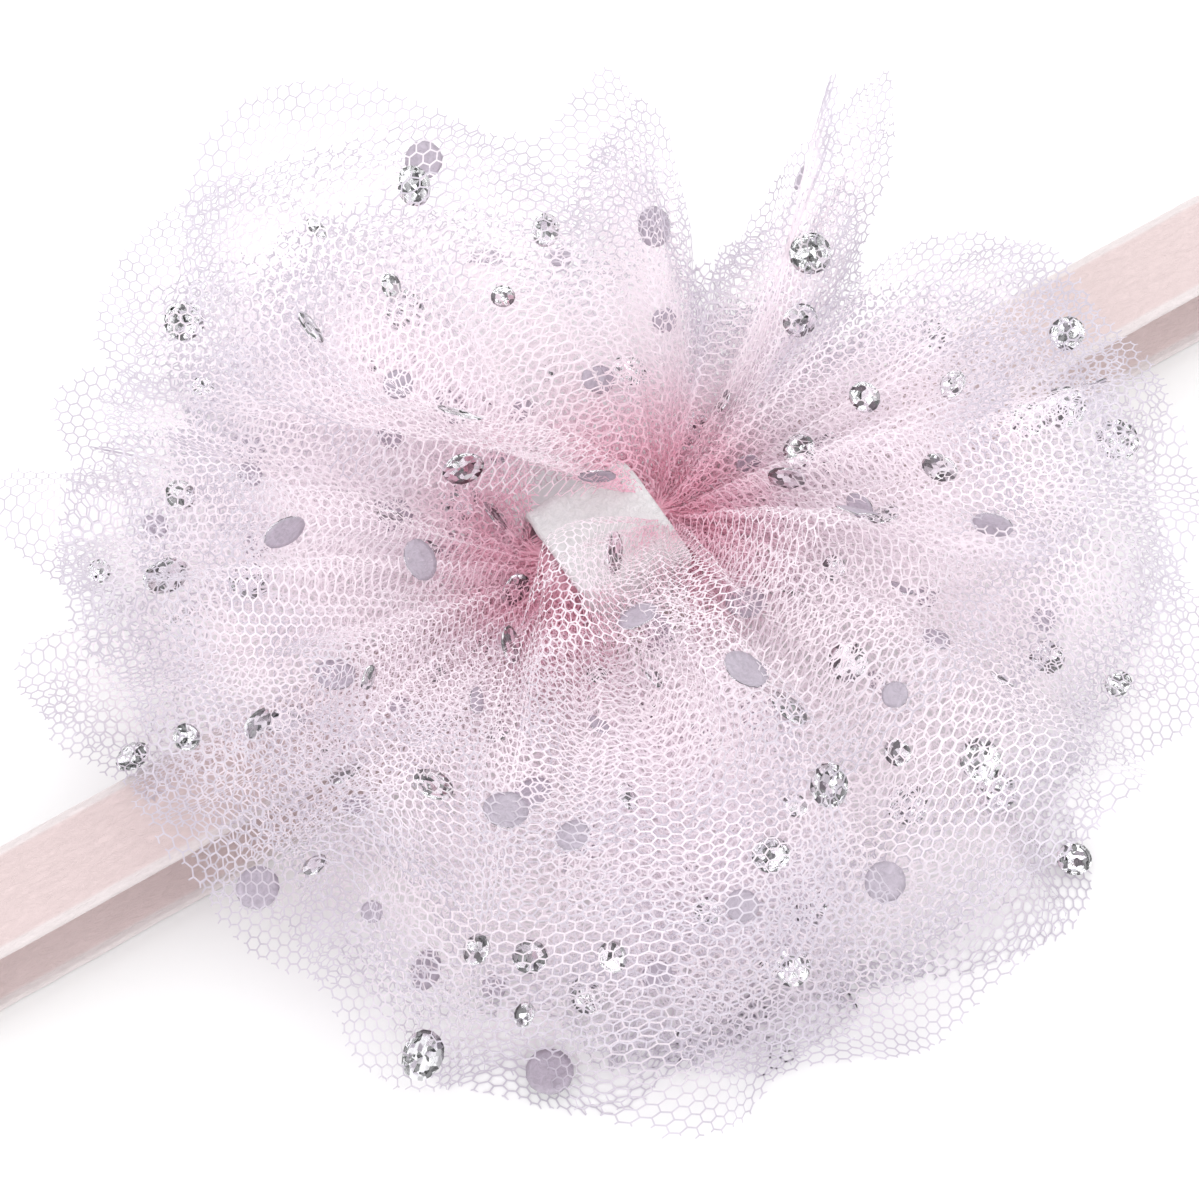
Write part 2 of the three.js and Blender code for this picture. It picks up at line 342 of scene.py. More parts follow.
def rgba(colour, shade=1.0):
    return (colour[0] * shade, colour[1] * shade, colour[2] * shade, 1.0)


def shades(tree, mask, colour, dark, light):
    return mix_colours(tree, mask, rgba(colour, dark), rgba(colour, light))


def fibre_group():
    """Short matted fibres: a mask of lighter strands and the normal that they raise."""
    if "matted fibres" in bpy.data.node_groups:
        return bpy.data.node_groups["matted fibres"]
    group, start, end = open_group("matted fibres", [
        ("Scale", "NodeSocketFloat", 900.0), ("Stretch", "NodeSocketVector", (1.0, 1.0, 1.0)),
        ("Height", "NodeSocketFloat", 0.0001)], [
        ("Mask", "NodeSocketFloat"), ("Normal", "NodeSocketVector")])
    drawn = vector_math(group, "MULTIPLY", object_place(group), start.outputs["Stretch"])
    coarse = noise(group, drawn, start.outputs["Scale"], 6.0, Roughness=0.7, Distortion=1.5)
    strands = remap(group, coarse.outputs["Fac"], 0.35, 0.65)
    fill(group, end, [
        ("Mask", strands), ("Normal", bump(group, strands, start.outputs["Height"]))])
    return group


def add_fibres(tree, *values):
    fibres = add_node(tree, "ShaderNodeGroup", values, node_tree=fibre_group())
    return fibres.outputs["Mask"], fibres.outputs["Normal"]


def nylon_material(settings):
    material, tree, surface = new_material("knitted nylon")
    mask, normal = add_fibres(
        tree, ("Scale", 1500.0), ("Stretch", (0.35, 1.0, 1.0)), ("Height", 0.00005))
    nylon = shades(tree, mask, settings.colour, 0.95, 1.05)
    ribs = shades(tree, mask, settings.rib_colour, 0.9, 1.0)
    fill(tree, surface, [
        ("Base Color", mix_colours(tree, attribute(tree, "rib"), nylon, ribs)), ("Normal", normal),
        ("Roughness", 0.85), ("Specular IOR Level", 0.2), ("Sheen Weight", 0.35),
        ("Sheen Roughness", 0.5), ("Sheen Tint", (1.0, 0.93, 0.92, 1.0))])
    return material


def felt_material(settings):
    material, tree, surface = new_material("white felt")
    mask, normal = add_fibres(tree, ("Scale", 1400.0), ("Height", 0.00012))
    fill(tree, surface, [
        ("Base Color", shades(tree, mask, settings.colour, 0.86, 1.04)), ("Normal", normal),
        ("Roughness", 0.95), ("Specular IOR Level", 0.1), ("Sheen Weight", 0.3)])
    return material


def tulle_material(settings):
    """Glossy nylon thread in pale pink, with painted shade of a deeper rose in the gathers and of grey
    mauve at the rim, and patches of painted pale highlight.
    """
    material, tree, surface = new_material("tulle net")
    # Painted shade: the deeper rose of the gathers fades out along the run from the wrap
    out = remap(tree, attribute(tree, "run"), *PAINTED_GATHER_SHADE_RUNS, interpolation_type="SMOOTHSTEP")
    # Painted shade: the grey mauve comes in over the last stretch before the rim
    rim = remap(tree, attribute(tree, "to_rim"), PAINTED_RIM_SHADE_REACH, 1.0, interpolation_type="SMOOTHSTEP")
    inner = mix_colours(tree, out, rgba(settings.painted_gather_shade), rgba(settings.colour))
    tone = mix_colours(tree, rim, inner, rgba(settings.painted_rim_shade))
    # Painted highlight: pale lavender-white patches mixed into the threads' colour
    gleam_patches = noise(tree, object_place(tree), 260.0, 2.0)
    painted_gleam = remap(tree, gleam_patches.outputs["Fac"], 0.4, 0.7, to_high=0.3)
    thread = mix_colours(tree, painted_gleam, tone, (0.94, 0.90, 0.97, 1.0))
    fill(tree, surface, [("Base Color", thread), ("Roughness", 0.38), ("Specular IOR Level", 0.5)])
    through = add_node(tree, "ShaderNodeBsdfTranslucent", [("Color", thread)])
    mix = add_node(tree, "ShaderNodeMixShader", [
        (0, THREAD_CLEARNESS), (1, surface.outputs[0]), (2, through.outputs[0])])
    fill(tree, tree.nodes["Material Output"], [("Surface", mix.outputs[0])])
    return material


def facet_group():
    """Flat crumpled facets: a normal that jumps from facet to facet, and masks of wear and of painted
    reflection, a shade that darkens or lightens each facet's colour.
    """
    group, start, end = open_group("foil facets", [
        ("Scale", "NodeSocketFloat", 1600.0), ("Tilt", "NodeSocketFloat", 0.8)], [
        ("Wear", "NodeSocketFloat"), ("Shade", "NodeSocketFloat"), ("Normal", "NodeSocketVector")])
    place = object_place(group)
    bend = noise(group, place, 800.0, 3.0)
    pushed = vector_math(group, "SCALE", bend.outputs["Color"], 0.0006)
    cells = add_node(group, "ShaderNodeTexVoronoi", [
        ("Vector", vector_math(group, "ADD", place, pushed)), ("Scale", start.outputs["Scale"]),
        ("Randomness", 1.0)], feature="F1").outputs["Color"]
    centred = vector_math(group, "SUBTRACT", cells, (0.5, 0.5, 0.5))
    tilted = vector_math(group, "SCALE", centred, start.outputs["Tilt"])
    summed = vector_math(group, "ADD", bump(group, bend.outputs["Fac"], 0.0001), tilted)
    normal = add_node(group, "ShaderNodeVectorMath", [(0, summed)], operation="NORMALIZE")
    parts = add_node(group, "ShaderNodeSeparateColor", [("Color", cells)])
    fill(group, end, [
        ("Wear", bend.outputs["Fac"]), ("Shade", remap(group, parts.outputs["Red"], 0.22, 0.46)),
        ("Normal", normal.outputs[0])])
    return group


def foil_material(settings):
    """Bright crumpled foil, nearly a mirror on each facet, with painted reflections: its colour darkened
    or lightened facet by facet.
    """
    material, tree, surface = new_material("crinkled foil")
    facets = add_node(tree, "ShaderNodeGroup", node_tree=facet_group()).outputs
    # Painted reflection: the Shade mask darkens some facets' colour and lightens others, in place of dark
    # and bright reflections
    fill(tree, surface, [
        ("Base Color", shades(tree, facets["Shade"], settings.colour, 0.28, 1.15)),
        ("Normal", facets["Normal"]), ("Metallic", 1.0),
        ("Roughness", remap(tree, facets["Wear"], 0.3, 0.7, 0.08, 0.26))])
    return material


def foil_back_material(settings):
    material, tree, surface = new_material("foil back")
    mask, normal = add_fibres(tree, ("Scale", 1200.0), ("Height", 0.00004))
    fill(tree, surface, [
        ("Base Color", shades(tree, mask, settings.back_colour, 0.85, 1.15)), ("Normal", normal),
        ("Roughness", 0.5), ("Metallic", 0.35)])
    return material


# Meshes from arrays


def smoothstep(value, low, high):
    t = np.clip((value - low) / (high - low), 0.0, 1.0)
    return t * t * (3 - 2 * t)


def mesh_from_arrays(name, points, loops, sizes, attributes=()):
    """A mesh in metres from points in millimetres, face corners in a row, and the faces' sizes."""
    mesh = bpy.data.meshes.new(name)
    mesh.vertices.add(len(points))
    mesh.vertices.foreach_set("co", (np.asarray(points) * MM).astype(np.float32).ravel())
    if len(sizes):
        mesh.loops.add(len(loops))
        mesh.loops.foreach_set("vertex_index", np.asarray(loops, dtype=np.int32))
        mesh.polygons.add(len(sizes))
        starts = np.concatenate(([0], np.cumsum(sizes)[:-1])).astype(np.int32)
        mesh.polygons.foreach_set("loop_start", starts)
    mesh.update(calc_edges=True)
    for label, kind, values in attributes:
        attribute = mesh.attributes.new(label, kind, "POINT")
        field = "vector" if kind == "FLOAT_VECTOR" else "value"
        attribute.data.foreach_set(field, np.asarray(values, dtype=np.float32).ravel())
    mesh.validate()
    return mesh


def place_piece(name, mesh, materials):
    piece = bpy.data.objects.new(name, mesh)
    bpy.context.scene.collection.objects.link(piece)
    for material in materials:
        mesh.materials.append(material)
    return piece


def grid_faces(rows, columns, closed):
    """Quads of a grid of points, closed both ways or open, as one row of corners and their sizes."""
    left_out = 0 if closed else 1
    i, j = np.meshgrid(np.arange(rows - left_out), np.arange(columns - left_out), indexing="ij")
    next_i, next_j = (i + 1) % rows, (j + 1) % columns
    quads = np.stack([
        i * columns + j, i * columns + next_j, next_i * columns + next_j, next_i * columns + j], -1)
    return quads.reshape(-1), np.full(quads.size // 4, 4)


def soft_noise(seed, x, y):
    """Smooth noise from -1 to 1 over a plane."""
    lattice = np.random.default_rng(seed).uniform(-1, 1, (64, 64))
    x0, y0 = np.floor(x).astype(int), np.floor(y).astype(int)
    tx, ty = smoothstep(x - x0, 0, 1), smoothstep(y - y0, 0, 1)
    corner = lambda dx, dy: lattice[(x0 + dx) % 64, (y0 + dy) % 64]
    near = corner(0, 0) * (1 - tx) + corner(1, 0) * tx
    far = corner(0, 1) * (1 - tx) + corner(1, 1) * tx
    return near * (1 - ty) + far * ty


# The shape of the tulle


def fold_values(folds, column, across):
    """One column of a fold table at places across the wing, from -1 to 1, on a smooth curve."""
    values = np.array([row[FOLD_COLUMNS.index(column)] for row in folds], dtype=float)
    place = (across + 1) / 2 * (len(values) - 1)
    row = np.clip(np.floor(place).astype(int), 0, len(values) - 2)
    t = place - row
    a, b, c, d = (values[np.clip(row + shift, 0, len(values) - 1)] for shift in (-1, 0, 1, 2))
    return b + t / 2 * (c - a + t * (2 * a - 5 * b + 4 * c - d + t * (3 * (b - c) + d - a)))


def ply_level(sheet, ply):
    return max(sheet + 0.5 * (ply - 0.5), 0)


def near_petal(folds, sheet, across):
    """How much a place across the top sheet of the right wing belongs to the near top petal."""
    if sheet < SHEET_COUNT - 1 or folds is not RIGHT_FOLDS:
        return np.zeros_like(across)
    return np.exp(-((fold_values(folds, "heads", across) - NEAR_PETAL[0]) / NEAR_PETAL[1]) ** 4)


def ply_ruffles(sheet, ply, across):
    """The sheet's own ruffles across a wing, from -1 to 1."""
    ruffles, start, _ = SHEETS[sheet]
    return np.cos(np.pi * (ruffles * (across + 1) + 2 * start + 0.8 * ply))


def ply_reach(folds, sheet, ply, across):
    level = ply_level(sheet, ply) / (SHEET_COUNT - 1)
    reach = SHEETS[sheet][2] * (1 - (1 - NEAR_PETAL[3]) * near_petal(folds, sheet, across))
    lowest, highest = (fold_values(folds, column, across) for column in ("reach_low", "reach_high"))
    scallop = 1 + SCALLOP_DEPTH * ply_ruffles(sheet, ply, across)
    cut = 0.012 * soft_noise(40 + sheet * PLIES + ply, across * 9 + 20, across * 0 + 3)
    reach *= (lowest + (highest - lowest) * level) * scallop
    return FAN_REACH * reach * (1 + cut - SHORTER[sheet] * ply)


def unit(vectors):
    return vectors / (np.linalg.norm(vectors, axis=-1, keepdims=True) + 1e-9)


def ply_surface(wing, sheet, ply, seed, steps_across=361, step_out=0.5, longest=66.0):
    """Points of one ply's surface in one wing, in millimetres, with the tangents along and across.
    Rows run across the wing, and columns from inside the wrap to beyond the rim."""
    side, folds, sector = WINGS[wing]
    across = np.linspace(-1, 1, steps_across)
    level = ply_level(sheet, ply)
    low, high, heads = (fold_values(folds, column, across) for column in ("low", "high", "heads"))
    seam = smoothstep(np.abs(across), SEAM_START, 1.0)
    upper = level / (SHEET_COUNT - 1)
    lap = 0.3 + 0.7 * smoothstep(level, *LAP_LEVELS)
    top_lap = (side > 0) * smoothstep(level, *TOP_LAP_LEVELS)
    leaves = LEAVE_ANGLE * across + np.sign(across) * WRAP_LAP[wing] * seam * lap
    flat = FLAT_RUN + LAP_FLAT * seam * top_lap
    swing = SWING_RUN - EARLY_SWING * seam * (1 - top_lap)
    room = (high - low) / (SHEET_COUNT - 1)
    free = 1 - np.exp(-(heads / BAND_SECTOR) ** 2)
    fade = 1 - across ** 4
    shared = np.cos(np.pi * SHARED_FOLDS * (across + 1))
    own = OWN_DEPTH * room * (free if level == 0 else 1) * ply_ruffles(sheet, ply, across)
    rise = low + room * level + fade * (own + SHARED_DEPTH * shared * free)
    rise += NEAR_PETAL[2] * near_petal(folds, sheet, across)

    inside = int(PINCH_X / step_out)
    waist = LOOP_HEIGHT + FIT_GAP + SHEET_WALL * (0.3 + 0.4 * ply) + sheet * SHEET_PITCH
    waist_y = across * WAIST_WIDTH / 2 * (1 - LAP_PINCH * top_lap)
    point = np.stack([np.full_like(across, PINCH_X), waist_y, waist + LAP_LIFT * seam * top_lap], -1)
    columns = [point - [step_out * k, 0, 0] for k in range(inside, 0, -1)] + [point.copy()]
    run = np.zeros_like(across)
    for _ in range(int(longest / step_out)):
        near = 1 - smoothstep(run, *OVERLAP_RUNS)
        aim = heads + np.sign(across) * SEAM_OVERLAP * seam * (0.3 + 0.7 * near)
        turn = np.radians(leaves + (aim - leaves) * smoothstep(run, flat, swing))
        droop = RIM_DROOP * free * smoothstep(run, RISE_RUN, FAN_REACH)
        puff = (PUFF_LIFT + SEAM_LIFT * seam) * upper * smoothstep(run, 0, PUFF_FULL)
        puff *= 1 - smoothstep(run, PUFF_FADE, PUFF_END)
        slope = np.radians(rise * smoothstep(run, FLAT_RUN, RISE_RUN) + puff - droop)
        heading = [np.cos(slope) * np.cos(turn), np.cos(slope) * np.sin(turn), np.sin(slope)]
        point += step_out * np.stack(heading, -1)
        run += step_out * np.cos(slope)
        columns.append(point.copy())
    points = np.stack(columns, 1)

    # Gathers that run out from the wrap, soft waves towards the rim, and crumples
    rng = np.random.default_rng(seed + 100 * sheet + 10 * ply + (side > 0))
    out = (np.arange(points.shape[1]) - inside) * step_out
    spread = across + 0.05 * np.sin(across * 7 + rng.uniform(0, 6))
    relief = np.zeros(points.shape[:2])
    for waves, depth, peak in GATHER_WAVES:
        waves = waves * sector / 4.3 * rng.uniform(0.85, 1.15)
        bed = np.clip(out / peak, 0, None)
        swell = bed * np.exp(1 - bed)
        relief += depth * np.sin(np.pi * waves * spread + rng.uniform(0, 6.3))[:, None] * swell[None, :]
    arc = across[:, None] * sector / 2 * (out[None, :] + 12) / 7
    rows_out = np.broadcast_to(out / 8 + 17, relief.shape)
    crumple = soft_noise(seed + 300 + sheet * 7 + ply, arc + 31, rows_out)
    relief += CRUMPLE_DEPTH * crumple * smoothstep(out, 6, 34)[None, :]

    normal = unit(np.cross(np.gradient(points, axis=1), np.gradient(points, axis=0)))
    points = points + normal * relief[..., None]
    clear = 0.1 + 0.25 * (sheet * PLIES + ply)
    points[..., 2] = np.maximum(points[..., 2], clear)
    points[..., 0] *= side
    along = unit(np.gradient(points, axis=1))
    sideways = np.gradient(points, axis=0)
    sideways = unit(sideways - along * np.sum(along * sideways, axis=-1, keepdims=True))
    return {"points": points, "along": along, "sideways": sideways, "inside": inside, "step": step_out}


def sample(surface, across, out):
    """The surface's points and tangents at places across the wing and runs from the wrap."""
    rows, columns = surface["points"].shape[:2]
    u = np.clip((across + 1) / 2 * (rows - 1), 0, rows - 1.001)
    v = np.clip(out / surface["step"] + surface["inside"], 0, columns - 1.001)
    i, j = u.astype(int), v.astype(int)
    s, t = (u - i)[:, None], (v - j)[:, None]
    for field in ("points", "along", "sideways"):
        grid = surface[field]
        near = grid[i, j] * (1 - t) + grid[i, j + 1] * t
        far = grid[i + 1, j] * (1 - t) + grid[i + 1, j + 1] * t
        yield near * (1 - s) + far * s


# The hexagonal net


# Where the flat net starts and how far its grid reaches, in millimetres, and how much is left of the
# strands that the scissors went through
FLAT_START = 12.0
NET_SPAN = 84.0
CUT_ENDS = (0.25, 0.95)
# A cell corner's three strands, and where in the grid each one's other end is
STRANDS = np.array([(0.0, 1.0), (math.sqrt(3) / 2, -0.5), (-math.sqrt(3) / 2, -0.5)])
NEIGHBOURS = ((-1, 2), (0, 1), (-1, 1))


def net_ply(wing, sheet, ply, settings):
    """One ply of hexagonal net in one wing. The flat net is a ring sector that starts FLAT_START from
    its centre, so its cells crowd together in the gathers. Returns the points, triangles, quads, runs
    from the wrap, distances to the rim, and the net's flat area."""
    side, folds, sector = WINGS[wing]
    pitch, thread = settings.cell_pitch, settings.thread_width
    surface = ply_surface(wing, sheet, ply, settings.seed)
    rng = np.random.default_rng(settings.seed + 1000 + 50 * sheet + 5 * ply + (side > 0))
    span = int(NET_SPAN / pitch)
    i, j = np.meshgrid(np.arange(-2 * span, 2 * span), np.arange(-span, span), indexing="ij")
    centres = np.stack([pitch * (i + j / 2), pitch * math.sqrt(3) / 2 * j], -1)
    radius = pitch / math.sqrt(3)
    tilt = rng.uniform(0, math.pi / 3)
    turned = np.array([(math.cos(tilt), math.sin(tilt)), (-math.sin(tilt), math.cos(tilt))])
    nudge = rng.uniform(0, pitch, 2)
    strands = STRANDS @ turned
    upper = (centres + [0, radius]) @ turned + nudge
    lower = (centres - [0, radius]) @ turned + nudge

    def inside_cut(flat):
        distance = np.hypot(flat[..., 0], flat[..., 1])
        across = np.arctan2(flat[..., 1], flat[..., 0]) / (sector / 2)
        reach = ply_reach(folds, sheet, ply, np.clip(across, -1, 1))
        first = FLAT_START - PINCH_X + 0.4
        return (np.abs(across) < 1) & (distance > first) & (distance < FLAT_START + reach)

    def settle(flat, offset):
        """Places flat points on the ply, with each offset kept at its true size."""
        distance = np.hypot(flat[:, 0], flat[:, 1])
        outward = flat / distance[:, None]
        around = np.stack([-outward[:, 1], outward[:, 0]], -1)
        across = np.arctan2(flat[:, 1], flat[:, 0]) / (sector / 2)
        out = distance - FLAT_START
        base, along, sideways = sample(surface, across, out)
        radial = np.sum(offset * outward, axis=1)[:, None]
        tangential = np.sum(offset * around, axis=1)[:, None]
        return base + along * radial + sideways * tangential, out

    keep_upper, keep_lower = inside_cut(upper), inside_cut(lower)
    number_upper = np.cumsum(keep_upper).reshape(keep_upper.shape) - 1
    number_lower = np.cumsum(keep_lower).reshape(keep_lower.shape) - 1 + keep_upper.sum()
    corner = thread / math.sqrt(3)
    flat_points, offsets = [], []
    for keep, flat, sign in ((keep_upper, upper, -1), (keep_lower, lower, 1)):
        flat_points.append(np.repeat(flat[keep], 3, axis=0))
        offsets.append(np.tile(sign * corner * strands, (keep.sum(), 1)))
    count = 3 * (keep_upper.sum() + keep_lower.sum())
    corners = np.arange(0, count, 3)
    triangles = np.stack([corners, corners + 2, corners + 1], -1)
    quads = []
    for k, (di, dj) in enumerate(NEIGHBOURS):
        a, b = (k + 1) % 3, (k + 2) % 3
        other_keep = np.roll(keep_lower, (-di, -dj), (0, 1))
        other_number = np.roll(number_lower, (-di, -dj), (0, 1))
        both = keep_upper & other_keep
        u, d = 3 * number_upper[both], 3 * other_number[both]
        quads.append(np.stack([u + b, d + a, d + b, u + a], -1))
        # The cut strands
        for only, home, numbers, sign in (
            (keep_upper & ~other_keep, upper, number_upper, 1),
            (other_keep & ~keep_upper, np.roll(lower, (-di, -dj), (0, 1)), other_number, -1),
        ):
            length = rng.uniform(*CUT_ENDS, only.sum())[:, None] * radius * sign
            ends = home[only] + strands[k] * length
            half = np.array([-strands[k][1], strands[k][0]]) * thread * 0.4 * sign
            first = count + 2 * np.arange(only.sum())
            flat_points.append(np.repeat(ends, 2, axis=0))
            offsets.append(np.tile(np.stack([half, -half]), (only.sum(), 1)))
            base = 3 * numbers[only]
            quads.append(np.stack([base + b, first + 1, first, base + a], -1))
            count += 2 * only.sum()
    flat = np.concatenate(flat_points)
    points, out = settle(flat, np.concatenate(offsets))
    across = np.clip(np.arctan2(flat[:, 1], flat[:, 0]) / (sector / 2), -1, 1)
    # The near top petal is kept clear of the painted grey rim shade
    to_rim = ply_reach(folds, sheet, ply, across) - out + PAINTED_RIM_SHADE_REACH * near_petal(folds, sheet, across)
    quads = np.concatenate(quads)
    if side < 0:
        triangles, quads = triangles[:, ::-1], quads[:, ::-1]
    cells = (keep_upper.sum() + keep_lower.sum()) / 2
    return points, triangles, quads, out, to_rim, cells * pitch * pitch * math.sqrt(3) / 2


def make_tulle_sheet(sheet, settings, material):
    """Both plies and both wings of one sheet as one net."""
    points, loops, sizes, runs, rims = [], [], [], [], []
    first, flat_area = 0, 0.0
    for ply in range(PLIES):
        for wing in WINGS:
            place, triangles, quads, out, to_rim, area = net_ply(wing, sheet, ply, settings)
            points.append(place)
            loops += [(triangles + first).ravel(), (quads + first).ravel()]
            sizes += [np.full(len(triangles), 3), np.full(len(quads), 4)]
            runs.append(out)
            rims.append(to_rim)
            first += len(place)
            flat_area += area
    mesh = mesh_from_arrays(
        f"tulle_net_{sheet + 1}", np.concatenate(points), np.concatenate(loops), np.concatenate(sizes),
        [("run", "FLOAT", np.concatenate(runs)), ("to_rim", "FLOAT", np.concatenate(rims))])
    return place_piece(f"tulle_net_{sheet + 1}", mesh, [material]), flat_area * MM * MM


# The band and the wrap


# Height and length of the band's stitches, the felt's rounding at its corners and its edges, and the
# longest step round it, in millimetres
STITCH_DEPTH = 0.012
STITCH_PITCH = 1.6
WRAP_CORNER = 1.7
FELT_EDGE = 0.42
FELT_STEP = 0.4


def rounded_path(width, height, corner, steps_corner, longest_step):
    """Points and outward normals round a box with round corners, in its own plane."""
    x, y = width / 2 - corner, height / 2 - corner
    points, normals = [], []
    for quarter, (cx, cy) in enumerate(((x, -y), (x, y), (-x, y), (-x, -y))):
        for step in range(steps_corner + 1):
            angle = math.pi / 2 * (quarter - 1 + step / steps_corner)
            normal = np.array([math.cos(angle), math.sin(angle)])
            points.append(np.array([cx, cy]) + corner * normal)
            normals.append(normal)
    full, full_normals = [], []
    for here, normal, there in zip(points, normals, points[1:] + points[:1]):
        pieces = max(1, int(np.linalg.norm(there - here) / longest_step))
        for part in range(pieces):
            full.append(here + (there - here) * part / pieces)
            full_normals.append(normal)
    return np.array(full), np.array(full_normals)


def swept_mesh(name, axis, path, normals, proud, across, middle, attributes=()):
    """A section swept round a path that closes in the upright plane of one axis, X (0) or Y (1)."""
    points = np.zeros((*proud.shape, 3))
    points[..., axis] = path[:, None, 0] + normals[:, None, 0] * proud
    points[..., 1 - axis] = across
    points[..., 2] = path[:, None, 1] + normals[:, None, 1] * proud + middle
    loops, sizes = grid_faces(*proud.shape, closed=True)
    return mesh_from_arrays(name, points.reshape(-1, 3), loops, sizes, attributes)


def band_section(settings):
    """The knit's section: across the band, away from its middle surface, and how much it is rib."""
    half, rib = BAND_WIDTH / 2, settings.rib_width
    wales = int((2 * half - 2 * rib) / settings.wale_pitch)
    y = np.concatenate([
        np.linspace(-half + 0.25, -half + rib, 7)[:-1],
        np.linspace(-half + rib, half - rib, 2 * wales + 1),
        np.linspace(half - rib, half - 0.25, 7)[1:],
    ])
    edge = half - np.abs(y)
    is_rib = 1 - smoothstep(edge, rib * 0.8, rib * 1.1)
    ridge = 0.5 + 0.5 * np.cos(2 * np.pi * (y - y[0]) / settings.wale_pitch)
    rib_rise = 0.06 * np.sin(np.pi * np.clip(edge / rib, 0, 1)) + 0.03 * np.cos(2 * np.pi * edge / 0.33)
    top = BAND_WALL / 2 - 0.14 + 0.05 * ridge * (1 - is_rib) + rib_rise * is_rib
    ends = np.array([(half - 0.06, 0.22), (half, 0.0), (half - 0.06, -0.22)])
    other = ends * [-1, -1]
    outline = np.concatenate([np.stack([y, top], -1), ends, np.stack([y, -top], -1)[::-1], other])
    ribs = np.concatenate([is_rib, [1, 1, 1], is_rib[::-1], [1, 1, 1]])
    return outline, ribs


def make_band(settings):
    """The whole loop, flattened on its back layer, with ribs at its edges and fine rows of knit."""
    length = BAND_HIGH[0] - BAND_LOW[0] - BAND_WALL
    height = LOOP_HEIGHT - BAND_WALL
    path, normals = rounded_path(length, height, height / 2 - 0.001, 12, 0.8)
    outline, ribs = band_section(settings)
    walk = np.concatenate([[0], np.cumsum(np.linalg.norm(np.diff(path, axis=0), axis=1))])
    stitch = STITCH_DEPTH * np.sin(2 * np.pi * walk / STITCH_PITCH)
    sway = 0.10 * soft_noise(5, walk / 9, walk * 0) + 0.06 * soft_noise(6, walk / 2.5, walk * 0)
    proud = outline[None, :, 1] + stitch[:, None] * np.sign(outline[None, :, 1])
    across = outline[None, :, 0] + sway[:, None] * np.abs(outline[None, :, 0]) / BAND_WIDTH
    rib = ("rib", "FLOAT", np.broadcast_to(ribs, proud.shape))
    mesh = swept_mesh("band_knit", 0, path, normals, proud, across, LOOP_HEIGHT / 2, [rib])
    return place_piece("band_knit", mesh, [nylon_material(settings)]), walk[-1]


def make_wrap(settings):
    """The felt strip wound round the band's front layer and the gathered tulle."""
    width = WRAP_HIGH[1] - WRAP_LOW[1] - WRAP_WALL
    height = WRAP_HIGH[2] - WRAP_LOW[2] - WRAP_WALL
    path, normals = rounded_path(width, height, WRAP_CORNER, 7, FELT_STEP)
    half, wall = WRAP_HIGH[0], WRAP_WALL / 2
    flat = np.linspace(-half + FELT_EDGE, half - FELT_EDGE, 30)
    turn = np.linspace(0, np.pi, 8)[1:-1]
    right = np.stack([half - FELT_EDGE + FELT_EDGE * np.sin(turn), wall * np.cos(turn)], -1)
    outline = np.concatenate([
        np.stack([flat, np.full_like(flat, wall)], -1), right,
        np.stack([flat[::-1], np.full_like(flat, -wall)], -1), -right])
    place, shift = np.meshgrid(np.arange(len(path)) * FELT_STEP, outline[:, 0], indexing="ij")
    outer = (outline[None, :, 1] > 0).astype(float)
    dents = 0.10 * soft_noise(11, place / 2.2, shift / 2.2 + 9)
    dents = dents + 0.05 * soft_noise(12, place / 0.7, shift / 0.7 + 9)
    proud = outline[None, :, 1] + dents * outer
    across = outline[None, :, 0] + 0.12 * soft_noise(13, place / 1.6, place * 0) * (shift / half)
    middle = (WRAP_HIGH[2] + WRAP_LOW[2]) / 2
    mesh = swept_mesh("felt_wrap", 1, path, normals, proud, across, middle)
    return place_piece("felt_wrap", mesh, [felt_material(settings)])


# Geometry Nodes: foil dots on their seats, and loose fibres on the felt


def scatter_tree(name, inputs):
    tree = bpy.data.node_groups.new(name, "GeometryNodeTree")
    add_socket = tree.interface.new_socket
    add_socket("Geometry", in_out="INPUT", socket_type="NodeSocketGeometry")
    identifiers = {}
    for label, kind in inputs:
        identifiers[label] = add_socket(label, in_out="INPUT", socket_type="NodeSocket" + kind).identifier
    add_socket("Geometry", in_out="OUTPUT", socket_type="NodeSocketGeometry")
    start, end = tree.nodes.new("NodeGroupInput"), tree.nodes.new("NodeGroupOutput")
    return tree, start.outputs, end, identifiers


def named_value(tree, label, kind="FLOAT"):
    node = add_node(tree, "GeometryNodeInputNamedAttribute", [("Name", label)], data_type=kind)
    return node.outputs["Attribute"]


def turned(tree, rotation, turn):
    values = [("Rotation", rotation), ("Rotate By", turn)]
    return add_node(tree, "FunctionNodeRotateRotation", values, rotation_space="LOCAL").outputs[0]


def real_copies(tree, points, shape, rotation, scale):
    """Real copies of an object's shape on the points."""
    info = add_node(tree, "GeometryNodeObjectInfo", [("Object", shape)])
    copies = add_node(tree, "GeometryNodeInstanceOnPoints", [
        ("Points", points), ("Instance", info.outputs["Geometry"]), ("Rotation", rotation),
        ("Scale", scale)])
    return add_node(tree, "GeometryNodeRealizeInstances", [("Geometry", copies.outputs[0])]).outputs[0]


def covered(tree, geometry, material, selection=True):
    return add_node(tree, "GeometryNodeSetMaterial", [
        ("Geometry", geometry), ("Selection", selection), ("Material", material)]).outputs[0]


